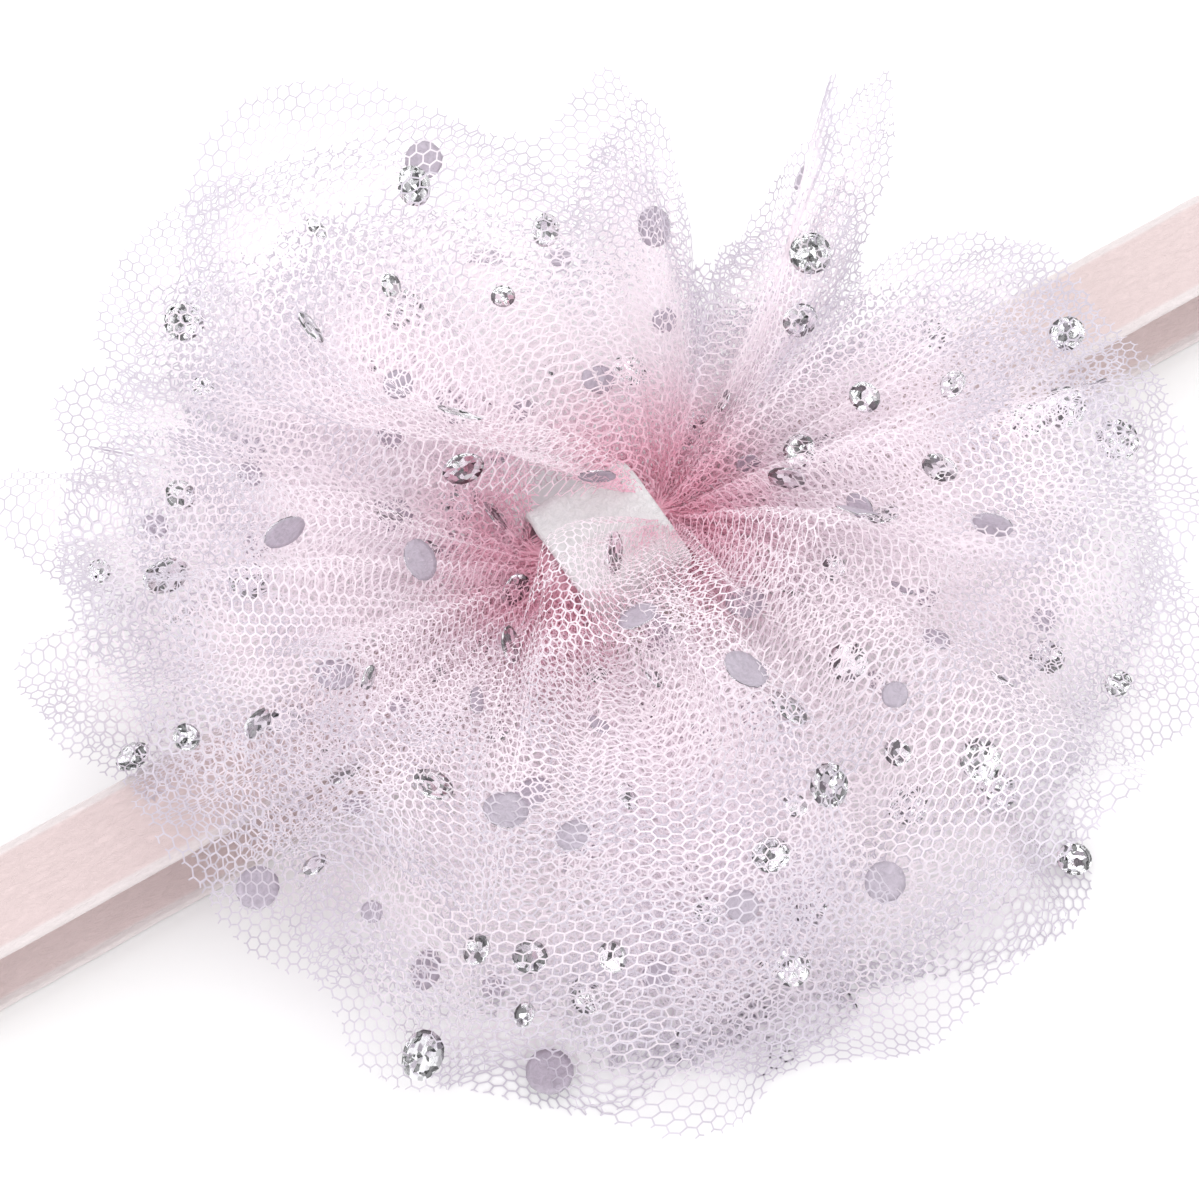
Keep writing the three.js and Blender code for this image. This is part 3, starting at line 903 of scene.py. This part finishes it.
def dot_tree():
    """Instances a foil disc on each seat, turned to face its way, then crinkles the real discs."""
    tree, start, end, identifiers = scatter_tree("foil dots", [
        ("Disc", "Object"), ("Crinkle", "Float"), ("Foil", "Material"), ("Back", "Material")])
    facing = named_value(tree, "facing", "FLOAT_VECTOR")
    aligned = add_node(tree, "FunctionNodeAlignRotationToVector", [("Vector", facing)], axis="Z")
    spin = add_node(tree, "FunctionNodeAxisAngleToRotation", [
        ("Axis", (0.0, 0.0, 1.0)), ("Angle", named_value(tree, "spin"))])
    diameter = named_value(tree, "diameter")
    size = add_node(tree, "ShaderNodeCombineXYZ", [("X", diameter), ("Y", diameter), ("Z", 1.0)])
    real = real_copies(
        tree, start["Geometry"], start["Disc"], turned(tree, aligned.outputs[0], spin.outputs[0]),
        size.outputs[0])
    wrinkles = add_node(tree, "ShaderNodeTexNoise", [
        ("Scale", 620.0), ("Detail", 2.0), ("Distortion", 0.6)])
    centred = add_node(tree, "ShaderNodeMath", [
        (0, wrinkles.outputs["Fac"]), (1, 0.5)], operation="SUBTRACT")
    lift = add_node(tree, "ShaderNodeMath", [
        (0, centred.outputs[0]), (1, start["Crinkle"])], operation="MULTIPLY")
    crinkled = add_node(tree, "GeometryNodeSetPosition", [
        ("Geometry", real), ("Offset", vector_math(tree, "SCALE", facing, lift.outputs[0]))])
    foil = covered(tree, crinkled.outputs[0], start["Foil"])
    back = covered(tree, foil, start["Back"], named_value(tree, "is_back", "BOOLEAN"))
    fill(tree, end, [(0, back)])
    return tree, identifiers


def fuzz_tree():
    """Scatters short bent fibres on a surface."""
    tree, start, end, identifiers = scatter_tree("felt fuzz", [
        ("Fibre", "Object"), ("Density", "Float"), ("Seed", "Int"), ("Material", "Material")])
    points = add_node(tree, "GeometryNodeDistributePointsOnFaces", [
        ("Mesh", start["Geometry"]), ("Density", start["Density"]), ("Seed", start["Seed"])])
    lean = add_node(tree, "FunctionNodeRandomValue", [
        (0, (-0.9, -0.9, -3.1)), (1, (0.9, 0.9, 3.1)), ("Seed", 4)], data_type="FLOAT_VECTOR")
    size = add_node(tree, "FunctionNodeRandomValue", [
        (2, 0.5), (3, 1.3), ("Seed", 5)], data_type="FLOAT")
    real = real_copies(
        tree, points.outputs["Points"], start["Fibre"],
        turned(tree, points.outputs["Rotation"], lean.outputs[0]), size.outputs[1])
    fill(tree, end, [(0, covered(tree, real, start["Material"]))])
    return tree, identifiers


def run_tree(name, carrier, tree, identifiers, values, materials):
    """Runs a tree on the carrier and returns its result as a plain piece; the carrier is removed."""
    modifier = carrier.modifiers.new(tree.name, "NODES")
    modifier.node_group = tree
    for label, value in values.items():
        modifier[identifiers[label]] = value
    bpy.context.view_layer.update()
    evaluated = carrier.evaluated_get(bpy.context.evaluated_depsgraph_get())
    mesh = bpy.data.meshes.new_from_object(evaluated)
    mesh.name = name
    carrier.modifiers.clear()
    bpy.data.objects.remove(carrier)
    if not len(mesh.polygons):
        raise RuntimeError(f"{name} came out empty")
    return place_piece(name, mesh, [] if any(mesh.materials) else materials)


# The foil's thickness in millimetres, and a disc's rings as shares of its diameter
FOIL_THICKNESS = 0.1
DISC_RINGS = (0.2, 0.36, 0.5)
DISC_SPOKES = 14


def foil_disc():
    """A thin closed disc one metre across, its lower face marked as the back."""
    angles = np.arange(DISC_SPOKES) * 2 * np.pi / DISC_SPOKES
    points = []
    for height in (FOIL_THICKNESS / 2, -FOIL_THICKNESS / 2):
        points.append([(0, 0, height)])
        for ring, radius in enumerate(DISC_RINGS):
            angle = angles + ring * np.pi / DISC_SPOKES
            level = np.full(DISC_SPOKES, height)
            points.append(np.stack([radius * np.cos(angle), radius * np.sin(angle), level], -1))
    points = np.concatenate(points)
    points[:, :2] /= MM
    layer = 1 + DISC_SPOKES * len(DISC_RINGS)
    faces, backs = [], []
    for base, is_back in ((0, False), (layer, True)):
        order = -1 if is_back else 1
        for k in range(DISC_SPOKES):
            after = (k + 1) % DISC_SPOKES
            fan = [[base, base + 1 + k, base + 1 + after]]
            for ring in range(len(DISC_RINGS) - 1):
                inner = base + 1 + ring * DISC_SPOKES
                outer = inner + DISC_SPOKES
                fan += [[inner + k, outer + k, inner + after], [inner + after, outer + k, outer + after]]
            faces += [triangle[::order] for triangle in fan]
            backs += [is_back] * len(fan)
    rim = 1 + DISC_SPOKES * (len(DISC_RINGS) - 1)
    for k in range(DISC_SPOKES):
        after = (k + 1) % DISC_SPOKES
        faces.append([rim + k, layer + rim + k, layer + rim + after, rim + after])
        backs.append(False)
    sizes = [len(face) for face in faces]
    mesh = mesh_from_arrays("foil_disc", points, np.concatenate(faces), sizes)
    mesh.attributes.new("is_back", "BOOLEAN", "FACE").data.foreach_set("value", backs)
    return place_piece("foil_disc", mesh, [])


# Height of the lowest dots' middles over the surface, the least distance between a scattered dot and
# the others, and the scattered dots' diameters, in millimetres
LOWEST_DOT = 1.6
DOT_SPACING = 5.5
DOT_SIZES = (2.6, 4.2)
# How far the dots stand off the net and keep from its rim, the runs from the wrap where the charted
# and the scattered ones start, in millimetres, and the share of scattered ones with their face up
SEAT_LIFT = 0.1
RIM_MARGIN = 1.6
CHARTED_START = 3
SCATTER_START = 9
FACE_UP_SHARE = 0.6

# Dots that stand out in the picture: place and width in its pixels, how many plies lie above, and
# whether the foil's face looks up (1) or its back does (0)
PICTURE = (1199, 1200)
CHARTED_DOTS = (
    (310, 328, 36, 0, 1), (413, 186, 40, 0, 1), (424, 160, 40, 1, 0), (545, 102, 36, 1, 0),
    (390, 286, 26, 0, 1), (503, 296, 24, 0, 1), (460, 414, 44, 0, 1), (118, 345, 36, 0, 1),
    (70, 755, 46, 0, 1), (257, 723, 32, 0, 1), (433, 785, 40, 0, 1), (197, 875, 36, 0, 1),
    (258, 888, 44, 1, 0), (477, 950, 30, 0, 1), (422, 1055, 50, 0, 1), (550, 1077, 48, 1, 0),
    (573, 836, 32, 1, 0), (638, 617, 40, 0, 0), (515, 590, 36, 1, 1), (510, 645, 38, 1, 1),
    (495, 516, 36, 0, 1), (597, 477, 38, 1, 1), (800, 452, 36, 0, 1), (787, 477, 38, 0, 1),
    (865, 397, 32, 0, 1), (723, 402, 30, 1, 1), (800, 320, 36, 1, 1), (1067, 334, 36, 0, 1),
    (953, 385, 30, 1, 1), (940, 467, 36, 1, 1), (1158, 404, 40, 0, 1), (1117, 440, 46, 2, 1),
    (993, 524, 40, 0, 0), (745, 670, 44, 0, 0), (788, 708, 44, 2, 1), (980, 760, 44, 2, 1),
    (1047, 657, 36, 2, 1), (1118, 683, 28, 1, 1), (885, 882, 40, 1, 0), (1072, 865, 36, 1, 1),
    (771, 855, 36, 1, 1), (742, 906, 32, 1, 0), (855, 1065, 36, 0, 1), (165, 575, 46, 2, 1),
    (335, 675, 40, 2, 0), (368, 677, 24, 0, 1), (851, 110, 20, 0, 1), (237, 118, 24, 0, 1),
    (203, 387, 22, 1, 1), (398, 384, 30, 2, 0), (530, 957, 34, 1, 1), (612, 957, 30, 1, 1),
    (525, 1015, 24, 0, 1), (657, 975, 30, 2, 0), (545, 230, 34, 1, 1), (600, 380, 30, 2, 0),
    (665, 320, 26, 2, 0), (180, 495, 30, 1, 1), (100, 571, 24, 2, 1), (133, 757, 36, 1, 1),
    (235, 968, 40, 1, 0), (372, 912, 22, 1, 0), (627, 797, 26, 2, 1), (598, 725, 24, 2, 0),
    (898, 752, 28, 1, 1), (935, 640, 30, 2, 0), (1043, 620, 24, 2, 0), (833, 568, 26, 2, 1),
    (885, 515, 34, 1, 1), (860, 505, 30, 0, 0), (395, 515, 36, 2, 0), (428, 547, 24, 1, 1),
)


def camera_axes(stage):
    a, e = math.radians(stage.azimuth), math.radians(stage.elevation)
    back = Vector((math.sin(a) * math.cos(e), -math.cos(a) * math.cos(e), math.sin(e)))
    right = Vector((math.cos(a), math.sin(a), 0.0))
    return right, back.cross(right), back


# Where the middle of the wrap's top shows in the picture, in its pixels
WRAP_IN_PICTURE = (606, 528)


def camera_place(stage):
    """The camera's place and the point that it looks at, in metres."""
    right, up, back = camera_axes(stage)
    scale = stage.frame_height / PICTURE[1]
    wrap = Vector((0.0, 0.0, WRAP_HIGH[2] * MM))
    dx, dy = WRAP_IN_PICTURE[0] - PICTURE[0] / 2, PICTURE[1] / 2 - WRAP_IN_PICTURE[1]
    target = wrap - right * dx * scale - up * dy * scale
    return target + back * stage.distance, target


def picture_ray(stage, x, y):
    eye, target = camera_place(stage)
    right, up, back = camera_axes(stage)
    scale = stage.frame_height / PICTURE[1]
    through = target + right * (x - PICTURE[0] / 2) * scale + up * (PICTURE[1] / 2 - y) * scale
    return eye, (through - eye).normalized()


def ply_carrier(wing, sheet, ply, settings):
    """The ply's surface inside its cut, as a tree for rays and as rows of points and normals."""
    side, folds, _ = WINGS[wing]
    surface = ply_surface(wing, sheet, ply, settings.seed, steps_across=121, step_out=1.0)
    points = surface["points"]
    across = np.linspace(-1, 1, points.shape[0])
    out = (np.arange(points.shape[1]) - surface["inside"]) * surface["step"]
    reach = ply_reach(folds, sheet, ply, across)
    kept = (out[None, :] < reach[:, None] - RIM_MARGIN) & (out[None, :] > CHARTED_START)
    loops, _ = grid_faces(*points.shape[:2], closed=False)
    quads = loops.reshape(-1, 4)
    quads = quads[kept.ravel()[quads].all(axis=1)]
    vertices = [Vector(p) * MM for p in points.reshape(-1, 3)]
    normals = np.cross(surface["along"], surface["sideways"]).reshape(-1, 3)
    normals *= np.sign(normals[:, 2:3]) + (normals[:, 2:3] == 0)
    usable = np.flatnonzero((kept & (out[None, :] > SCATTER_START)).ravel())
    return BVHTree.FromPolygons(vertices, quads.tolist()), vertices, normals, usable


def dot_seats(dots, tulle, stage):
    """Seats of the charted dots, found along the camera's rays, and of the scattered ones."""
    carriers = [ply_carrier(wing, sheet, ply, tulle)
                for sheet in range(SHEET_COUNT) for ply in range(PLIES) for wing in WINGS]
    rng = np.random.default_rng(dots.seed)
    seats = []

    def add_seat(place, normal, diameter, face_up):
        facing = normal if face_up else -normal
        place.z = max(place.z, LOWEST_DOT * MM)
        seats.append((place + normal * SEAT_LIFT * MM, facing, diameter))

    for x, y, width, under, face_up in CHARTED_DOTS:
        eye, ray = picture_ray(stage, x, y)
        hits = []
        for bvh, _, _, _ in carriers:
            place, normal, _, distance = bvh.ray_cast(eye, ray)
            if place is not None:
                hits.append((distance, place, normal if normal.z > 0 else -normal))
        if hits:
            hits.sort(key=lambda hit: hit[0])
            _, place, normal = hits[min(under, len(hits) - 1)]
            add_seat(place, normal, width * stage.frame_height / PICTURE[1], face_up)
    for number in range(dots.scattered):
        _, vertices, normals, usable = carriers[number % len(carriers)]
        pick = usable[rng.integers(len(usable))]
        normal = Vector(normals[pick]).normalized()
        place = vertices[pick].copy()
        nearest = min(((place - seat[0]).length for seat in seats), default=1.0)
        if nearest > DOT_SPACING * MM:
            add_seat(place, normal, rng.choice(DOT_SIZES) * MM, rng.random() < FACE_UP_SHARE)
    return seats


def make_dots(dots, tulle, stage):
    seats = dot_seats(dots, tulle, stage)
    rng = np.random.default_rng(dots.seed + 1)
    mesh = mesh_from_arrays("dot_seats", [np.array(seat[0]) / MM for seat in seats], [], [], [
        ("facing", "FLOAT_VECTOR", [tuple(seat[1]) for seat in seats]),
        ("diameter", "FLOAT", [seat[2] for seat in seats]),
        ("spin", "FLOAT", rng.uniform(0, 6.28, len(seats)))])
    carrier = place_piece("dot_seats", mesh, [])
    disc = foil_disc()
    tree, identifiers = dot_tree()
    foil, back = foil_material(dots), foil_back_material(dots)
    values = {"Disc": disc, "Crinkle": dots.crinkle * MM * 2, "Foil": foil, "Back": back}
    piece = run_tree("foil_dots", carrier, tree, identifiers, values, [foil, back])
    bpy.data.objects.remove(disc)
    return piece


def make_fuzz(wrap, settings):
    """Short loose fibres that stand off the felt."""
    arc = np.linspace(0, 1, 4)
    spine = np.stack([0.10 * arc ** 2, 0.04 * arc, 0.32 * arc], -1)
    side = np.array([0.0, 0.012, 0.0])
    points = np.concatenate([spine - side, spine + side])
    quads = [[k, k + 1, k + 5, k + 4] for k in range(3)]
    mesh = mesh_from_arrays("felt_fibre", points, np.concatenate(quads), [4] * 3)
    fibre = place_piece("felt_fibre", mesh, [])
    carrier = place_piece("fuzz_carrier", wrap.data.copy(), [])
    tree, identifiers = fuzz_tree()
    material = wrap.data.materials[0]
    density = settings.fuzz_count / (MM * MM)
    values = {"Fibre": fibre, "Density": density, "Seed": 2, "Material": material}
    piece = run_tree("felt_fuzz", carrier, tree, identifiers, values, [material])
    bpy.data.objects.remove(fibre)
    return piece


# The stage


# Direction that most of the room's light comes from, and the room's brightness away from it and in it
ROOM_LIGHT = (-0.42, -0.18, 0.89)
ROOM_RANGE = (0.72, 1.38)
WHITE = (1.0, 1.0, 1.0, 1.0)
# Half the floor's width in metres, and how far it lies under the headband in millimetres
FLOOR_HALF = 1.5
FLOOR_GAP = 0.05


def white_room(strength):
    """A white room that is brighter overhead, with dark flags that only reflections show."""
    world = bpy.data.worlds.new("white room")
    bpy.context.scene.world = world
    world.use_nodes = True
    tree = world.node_tree
    place = add_node(tree, "ShaderNodeTexCoord").outputs["Generated"]
    overhead = add_node(tree, "ShaderNodeVectorMath", [
        (0, place), (1, ROOM_LIGHT)], operation="DOT_PRODUCT")
    dim, bright = (share * strength for share in ROOM_RANGE)
    glow = remap(tree, overhead.outputs["Value"], -1.0, 1.0, dim, bright)
    white = tree.nodes["Background"]
    fill(tree, white, [("Color", WHITE), ("Strength", glow)])
    flags = noise(tree, place, 4.5, 1.5, Distortion=0.8)
    contrast = remap(tree, flags.outputs["Fac"], 0.48, 0.53, 0.0, 2.0)
    dark = add_node(tree, "ShaderNodeBackground", [("Color", WHITE), ("Strength", contrast)])
    path = add_node(tree, "ShaderNodeLightPath")
    mix = add_node(tree, "ShaderNodeMixShader", [
        (0, path.outputs["Is Glossy Ray"]), (1, white.outputs[0]), (2, dark.outputs[0])])
    fill(tree, tree.nodes["World Output"], [("Surface", mix.outputs[0])])


def make_floor():
    corners = np.array([(-1, -1, 0), (1, -1, 0), (1, 1, 0), (-1, 1, 0)]) * FLOOR_HALF / MM
    corners[:, 2] = -FLOOR_GAP
    material, tree, surface = new_material("pale floor")
    fill(tree, surface, [
        ("Base Color", (0.80, 0.80, 0.80, 1.0)), ("Roughness", 0.9), ("Specular IOR Level", 0.0)])
    return place_piece("floor", mesh_from_arrays("floor", corners, [0, 1, 2, 3], [4]), [material])


def make_camera(stage):
    data = bpy.data.cameras.new("camera")
    camera = bpy.data.objects.new("camera", data)
    bpy.context.scene.collection.objects.link(camera)
    place, target = camera_place(stage)
    camera.location = place
    camera.rotation_mode = "QUATERNION"
    camera.rotation_quaternion = (place - target).to_track_quat("Z", "Y")
    data.sensor_width = 36.0
    data.lens = data.sensor_width * stage.distance / stage.frame_height
    data.clip_start = 0.01
    data.dof.use_dof = False
    bpy.context.scene.camera = camera


# Operators, one for each piece or group of like pieces


class HEADBAND_OT_tulle(bpy.types.Operator):
    """Make the net of every tulle sheet"""
    bl_idname = "headband.tulle"
    bl_label = "Tulle nets"

    def execute(self, context):
        settings = context.scene.headband_tulle
        material = tulle_material(settings)
        for sheet in range(SHEET_COUNT):
            piece, flat_area = make_tulle_sheet(sheet, settings, material)
            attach(piece, BODY)
            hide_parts(f"tulle_sheet_{sheet + 1}")
        return {"FINISHED"}


class HEADBAND_OT_band(bpy.types.Operator):
    """Make the knitted band"""
    bl_idname = "headband.band"
    bl_label = "Band"

    def execute(self, context):
        piece, length = make_band(context.scene.headband_band)
        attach(piece, BODY)
        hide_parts("band")
        return {"FINISHED"}


class HEADBAND_OT_wrap(bpy.types.Operator):
    """Make the felt wrap and its fuzz"""
    bl_idname = "headband.wrap"
    bl_label = "Felt wrap"

    def execute(self, context):
        settings = context.scene.headband_wrap
        wrap = make_wrap(settings)
        fuzz = make_fuzz(wrap, settings)
        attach(wrap, BODY)
        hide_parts("center_wrap")
        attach(fuzz, BODY)
        return {"FINISHED"}


class HEADBAND_OT_dots(bpy.types.Operator):
    """Glue the foil dots on the nets"""
    bl_idname = "headband.dots"
    bl_label = "Foil dots"

    def execute(self, context):
        scene = context.scene
        piece = make_dots(scene.headband_dots, scene.headband_tulle, scene.headband_stage)
        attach(piece, BODY)
        return {"FINISHED"}


class HEADBAND_OT_stage(bpy.types.Operator):
    """Make the floor, the light and the camera"""
    bl_idname = "headband.stage"
    bl_label = "Stage"

    def execute(self, context):
        stage = context.scene.headband_stage
        make_floor()
        white_room(stage.room_strength)
        make_camera(stage)
        context.scene.view_settings.view_transform = "Standard"
        return {"FINISHED"}


class HEADBAND_PT_pieces(bpy.types.Panel):
    """The headband's pieces and their sizes"""
    bl_idname = "HEADBAND_PT_pieces"
    bl_label = "Headband"
    bl_space_type = "VIEW_3D"
    bl_region_type = "UI"
    bl_category = "Headband"

    def draw(self, context):
        for operator, group, settings in STEPS:
            box = self.layout.box()
            box.operator(operator.bl_idname)
            for label in settings.__annotations__:
                box.prop(getattr(context.scene, group), label)


STEPS = (
    (HEADBAND_OT_stage, "headband_stage", StageSettings),
    (HEADBAND_OT_band, "headband_band", BandSettings),
    (HEADBAND_OT_wrap, "headband_wrap", WrapSettings),
    (HEADBAND_OT_tulle, "headband_tulle", TulleSettings),
    (HEADBAND_OT_dots, "headband_dots", DotSettings),
)


def register():
    for operator, group, settings in STEPS:
        bpy.utils.register_class(settings)
        setattr(bpy.types.Scene, group, bpy.props.PointerProperty(type=settings))
        bpy.utils.register_class(operator)
    bpy.utils.register_class(HEADBAND_PT_pieces)


def unregister():
    bpy.utils.unregister_class(HEADBAND_PT_pieces)
    for operator, group, settings in reversed(STEPS):
        bpy.utils.unregister_class(operator)
        delattr(bpy.types.Scene, group)
        bpy.utils.unregister_class(settings)


def main():
    register()
    bpy.ops.headband.stage()
    bpy.ops.headband.band()
    bpy.ops.headband.wrap()
    bpy.ops.headband.tulle()
    bpy.ops.headband.dots()


if __name__ == "__main__":
    main()
